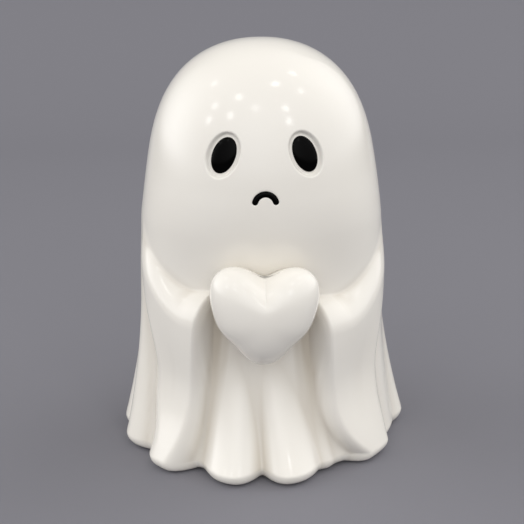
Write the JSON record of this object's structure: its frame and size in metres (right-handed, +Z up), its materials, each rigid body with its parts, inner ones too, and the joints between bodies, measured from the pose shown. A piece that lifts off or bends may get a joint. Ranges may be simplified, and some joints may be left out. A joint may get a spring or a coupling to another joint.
{
  "type": "ceramic ghost figure",
  "caption": "Free-standing glazed ceramic ghost: a hollow sheet-draped body with folded skirt and draped sleeves that hold a puffy heart, oval black eyes and a small frown",
  "frame": {"origin": "on the table, under the middle of the figure's bounding box", "axes": "+Z is up, through the crown; -Y is the front, where the face and the heart are; +X is at the viewer's right"},
  "size_m": [0.1803, 0.175, 0.25],
  "materials": {
    "white_glaze": "high-gloss warm white glaze over earthenware",
    "black_glaze": "high-gloss black glaze",
    "felt": "thin grey wool felt"
  },
  "bodies": {
    "root": {"body_shell": "white_glaze", "heart": "white_glaze", "left_eye": "black_glaze", "right_eye": "black_glaze", "mouth": "black_glaze", "foot_pad_1": "felt", "foot_pad_2": "felt", "foot_pad_3": "felt", "foot_pad_4": "felt"}
  },
  "joints": []
}
